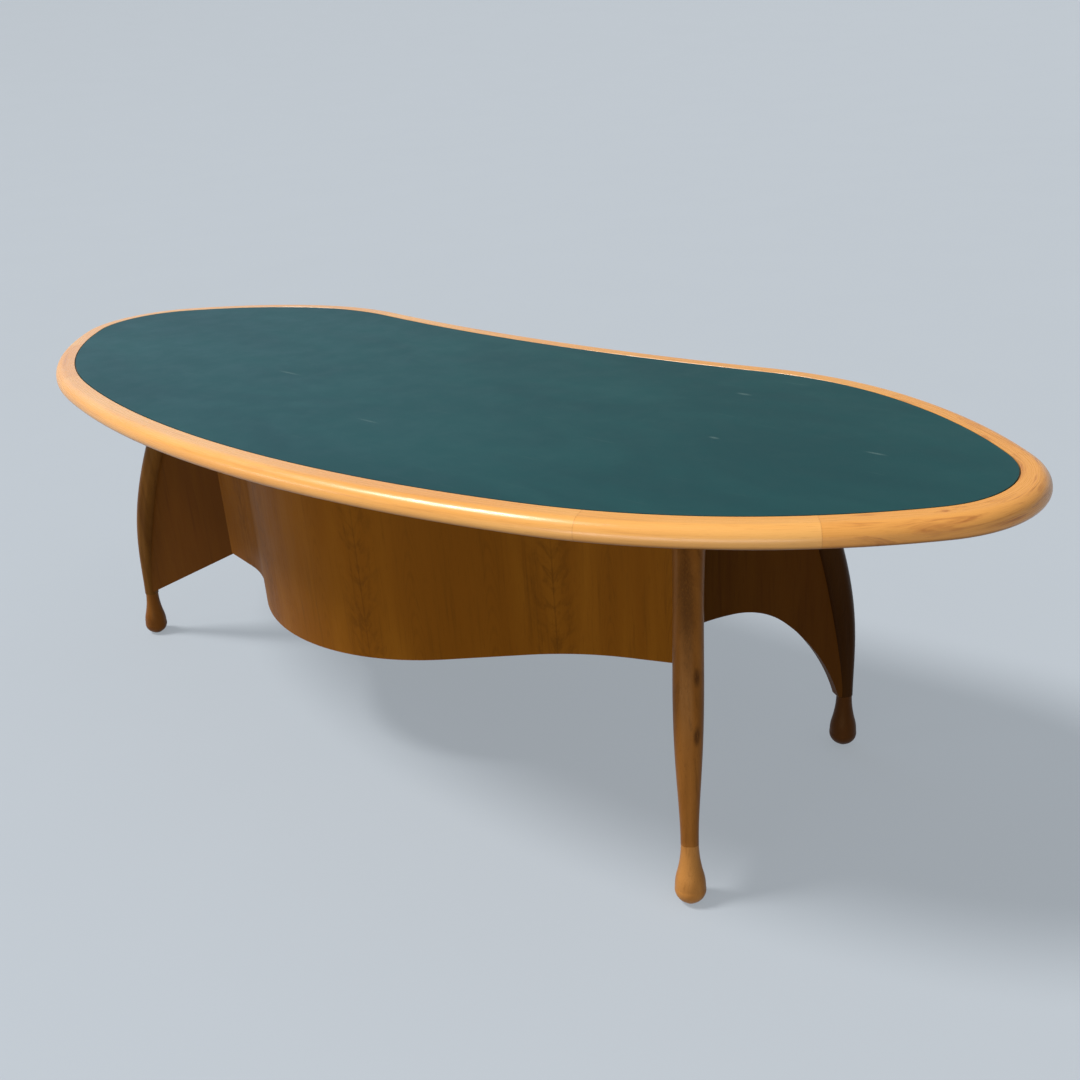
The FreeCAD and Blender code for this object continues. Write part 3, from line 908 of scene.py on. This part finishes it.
@dataclass
class Studio:
    """Pale floor, soft light from the front left and the camera."""

    focal_px: float = 1189.4
    image_px: float = 1080.0
    sensor: float = 36.0
    place: Place = (1.8088, -1.5130, 1.3548)
    pitch: float = 22.987
    roll: float = 4.157
    yaw: float = -44.046
    floor_radius: float = 8.0
    floor_end: float = 60.0
    floor_rise: float = 12.0
    floor_rings: int = 24
    floor_sides: int = 96
    floor_colour: Colour = (0.24, 0.27, 0.31)
    floor_thrown: Colour = (0.16, 0.155, 0.15)
    floor_glow: Colour = (0.28, 0.307, 0.332)
    sky: Colour = (0.55, 0.55, 0.55)
    sky_blue: Colour = (1.10, 1.70, 2.30)
    sky_blue_from: Place = (-0.95, 0.30, 0.08)
    sky_blue_edge: float = 0.78
    sky_strength: float = 0.5
    sun_from: Place = (-0.47, -0.34, 0.81)
    sun_strength: float = 2.9
    sun_colour: Colour = (1.0, 0.95, 0.88)
    sun_angle: float = 16.0
    box_aim: Place = (0.3, -0.2, 0.55)
    boxes: Tuple[Tuple[str, Place, Point, float], ...] = (
        ("left_softbox", (-2.6, -3.3, 1.5), (1.0, 0.5), 11.0),
        ("front_softbox", (1.7, -3.3, 0.65), (3.2, 0.8), 34.0),
    )

    def build(self) -> None:
        """Make the floor, lights, background and camera."""
        self.make_floor()
        self.make_lights()
        self.make_world()
        self.make_camera()
        bpy.context.scene.view_settings.view_transform = "Standard"

    def make_floor(self) -> None:
        """Lay the floor, which curves up far away so that it has no horizon."""
        verts = [(0.0, 0.0, 0.0)]
        for ring in range(self.floor_rings):
            share = ring / (self.floor_rings - 1)
            radius = self.floor_radius + (self.floor_end - self.floor_radius) * share
            for side in range(self.floor_sides):
                angle = 2 * math.pi * side / self.floor_sides
                height = self.floor_rise * share * share
                verts.append((radius * math.cos(angle), radius * math.sin(angle), height))
        faces = []
        for side in range(self.floor_sides):
            after = (side + 1) % self.floor_sides
            faces.append((0, 1 + side, 1 + after))
            for ring in range(self.floor_rings - 1):
                low = 1 + ring * self.floor_sides
                high = low + self.floor_sides
                faces.append((low + side, high + side, high + after, low + after))
        mesh = bpy.data.meshes.new("floor")
        mesh.from_pydata(verts, [], faces)
        mesh.shade_smooth()
        finish = FloorFinish("floor", self.floor_colour, self.floor_thrown, self.floor_glow)
        mesh.materials.append(finish.material())
        floor = bpy.data.objects.new("floor", mesh)
        bpy.context.scene.collection.objects.link(floor)

    def make_lights(self) -> None:
        """Set the soft sun and the two low softboxes."""
        sun = bpy.data.lights.new("sun", "SUN")
        sun.energy = self.sun_strength
        sun.color = self.sun_colour
        sun.angle = math.radians(self.sun_angle)
        self.hang(sun, Vector(self.sun_from), Vector((0.0, 0.0, 0.0)))
        for name, place, size, power in self.boxes:
            box = bpy.data.lights.new(name, "AREA")
            box.shape = "RECTANGLE"
            box.size, box.size_y = size
            box.energy = power
            self.hang(box, Vector(place), Vector(self.box_aim))

    @staticmethod
    def hang(data: bpy.types.Light, place: Vector, aim: Vector) -> None:
        """Put up a lamp.

        Args:
            data: The lamp's settings.
            place: Where it hangs.
            aim: Where it points.
        """
        lamp = bpy.data.objects.new(data.name, data)
        lamp.location = place
        lamp.rotation_euler = (place - aim).to_track_quat("Z", "Y").to_euler()
        bpy.context.scene.collection.objects.link(lamp)

    def make_world(self) -> None:
        """Set the even light from all round, bluer beyond the far left end."""
        world = bpy.data.worlds.new("sky")
        world.use_nodes = True
        tree = world.node_tree
        side = tree.nodes.new("ShaderNodeVectorMath")
        side.operation = "DOT_PRODUCT"
        side.inputs[1].default_value = self.sky_blue_from
        tree.links.new(tree.nodes.new("ShaderNodeTexCoord").outputs["Generated"], side.inputs[0])
        share = tree.nodes.new("ShaderNodeMapRange")
        share.interpolation_type = "SMOOTHSTEP"
        share.inputs["From Min"].default_value = self.sky_blue_edge
        share.inputs["From Max"].default_value = 1.0
        tree.links.new(side.outputs["Value"], share.inputs["Value"])
        colour = tree.nodes.new("ShaderNodeMix")
        colour.data_type = "RGBA"
        colour.inputs[6].default_value = (*self.sky, 1.0)
        colour.inputs[7].default_value = (*self.sky_blue, 1.0)
        tree.links.new(share.outputs["Result"], colour.inputs[0])
        background = tree.nodes["Background"]
        background.inputs["Strength"].default_value = self.sky_strength
        tree.links.new(colour.outputs[2], background.inputs["Color"])
        bpy.context.scene.world = world

    def make_camera(self) -> None:
        """Place the camera at the fitted viewing angle."""
        pitch, roll, yaw = (math.radians(angle) for angle in (self.pitch, self.roll, self.yaw))
        ahead = Vector((math.sin(yaw) * math.cos(pitch), math.cos(yaw) * math.cos(pitch), -math.sin(pitch)))
        level = Vector((math.cos(yaw), -math.sin(yaw), 0.0))
        down = ahead.cross(level)
        right = level * math.cos(roll) + down * math.sin(roll)
        below = down * math.cos(roll) - level * math.sin(roll)
        data = bpy.data.cameras.new("camera")
        data.sensor_width = self.sensor
        data.lens = self.sensor * self.focal_px / self.image_px
        camera = bpy.data.objects.new("camera", data)
        turn = Matrix((right, -below, -ahead)).transposed().to_4x4()
        camera.matrix_world = Matrix.Translation(self.place) @ turn
        bpy.context.scene.collection.objects.link(camera)
        bpy.context.scene.camera = camera


def finishes() -> Dict[str, bpy.types.Material]:
    """Build the materials.

    Returns:
        Material of each group of nodes, and of the rim.
    """
    leg_lean = (-0.30, 0.36, 1.0)
    leg_knots_and_shade = (
        Mark((0.832, -0.169, 0.400), (0.008, 0.008, 0.022), 0.9, leg_lean),
        Mark((0.847, -0.192, 0.308), (0.009, 0.009, 0.028), 0.9, leg_lean),
        # Painted shade: a long dark patch down the upper half of the front right leg, where the top shades
        # it.
        Mark((0.789, -0.134, 0.520), (0.021, 0.021, 0.170), 0.75, leg_lean),
    )
    warm = (1.0, 0.66, 0.34)
    woods = {
        "rim": WoodFinish(
            "rim_wood", (1.0, 0.53, 0.155), (0.90, 0.41, 0.092), (0.50, 0.17, 0.04), Grain.ALONG_LENGTH,
            figure=12.0, rings=5.0, roughness=0.27, coat=0.1, specular=0.45, jointed=True),
        "core": WoodFinish(
            "core_board", (0.30, 0.19, 0.10), (0.22, 0.13, 0.065), (0.15, 0.085, 0.04), Grain.ALONG_X,
            figure=7.0, rings=8.0, roughness=0.65, coat=0.0),
        "wave": WoodFinish(
            "wave_veneer", (0.335, 0.122, 0.008), (0.245, 0.080, 0.004), (0.110, 0.034, 0.002),
            figure=10.0, rings=8.0, roughness=0.5, coat=0.0, specular=0.15, sheen=(0.9, 0.76, 0.36),
            veneer=Veneer(leaf=0.147, seam=0.408)),
        "fins": WoodFinish(
            "fin_veneer", (0.155, 0.053, 0.005), (0.108, 0.033, 0.003), (0.048, 0.014, 0.002),
            figure=9.0, rings=8.0, roughness=0.5, coat=0.0, specular=0.15, sheen=warm),
        "legs": WoodFinish(
            "leg_wood", (0.370, 0.144, 0.027), (0.235, 0.085, 0.013), (0.070, 0.022, 0.004),
            figure=18.0, rings=6.0, roughness=0.36, coat=0.0, specular=0.25, sheen=warm, worn_and_highlit_edges=True,
            knots_and_shade=leg_knots_and_shade),
        # Painted shade: a darker copy of the leg wood for the left front leg.
        "left leg in painted shade": WoodFinish(
            "left_leg_wood_painted_shade", (0.200, 0.082, 0.014), (0.125, 0.046, 0.007), (0.050, 0.016, 0.003),
            figure=18.0, rings=6.0, roughness=0.36, coat=0.0, specular=0.15, sheen=warm),
        # Painted shade: a much darker copy of the leg wood for the back legs.
        "back legs in painted shade": WoodFinish(
            "back_leg_wood_painted_shade", (0.070, 0.025, 0.005), (0.045, 0.015, 0.003), (0.022, 0.007, 0.001),
            figure=18.0, rings=6.0, roughness=0.3, coat=0.0, specular=0.1, sheen=warm),
        "feet": WoodFinish(
            "foot_wood", (0.58, 0.26, 0.066), (0.44, 0.180, 0.040), (0.22, 0.082, 0.017),
            figure=24.0, rings=5.0, roughness=0.42, coat=0.0, specular=0.3, sheen=warm, worn_and_highlit_edges=True),
        # Painted shade: a darker copy of the foot wood for the left front foot.
        "left foot in painted shade": WoodFinish(
            "left_foot_wood_painted_shade", (0.280, 0.105, 0.019), (0.195, 0.066, 0.011), (0.095, 0.031, 0.006),
            figure=24.0, rings=5.0, roughness=0.42, coat=0.0, specular=0.2, sheen=warm, worn_and_highlit_edges=True),
        "posts": WoodFinish(
            "post_wood", (0.200, 0.072, 0.014), (0.145, 0.047, 0.008), (0.070, 0.022, 0.004),
            figure=12.0, rings=6.0, roughness=0.5, coat=0.0, specular=0.2, sheen=warm),
        # Painted shade: a much darker copy of the foot wood for the back feet.
        "back feet in painted shade": WoodFinish(
            "back_foot_wood_painted_shade", (0.120, 0.040, 0.009), (0.080, 0.026, 0.005), (0.040, 0.013, 0.003),
            figure=24.0, rings=5.0, roughness=0.42, coat=0.0, specular=0.2, sheen=warm, worn_and_highlit_edges=True),
        "inner": WoodFinish(
            "inner_wood", (0.46, 0.31, 0.16), (0.36, 0.23, 0.11), (0.25, 0.15, 0.07),
            figure=10.0, rings=8.0, roughness=0.6, coat=0.0),
    }
    built = {name: finish.material() for name, finish in woods.items()}
    built["inlay"] = InlayFinish().material()
    built["steel"] = PlainFinish("steel", (0.55, 0.55, 0.56), 0.35, 1.0).material()
    built["glides"] = PlainFinish("glide_plastic", (0.05, 0.05, 0.05), 0.5).material()
    return built


def main() -> None:
    """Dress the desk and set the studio."""
    logging.basicConfig(level=logging.INFO, format="%(name)s: %(message)s")
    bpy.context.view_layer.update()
    materials = finishes()
    CarriedNodes().dress(materials)
    Rim(Outline()).build(materials["rim"])
    Studio().build()


if __name__ == "__main__":
    main()
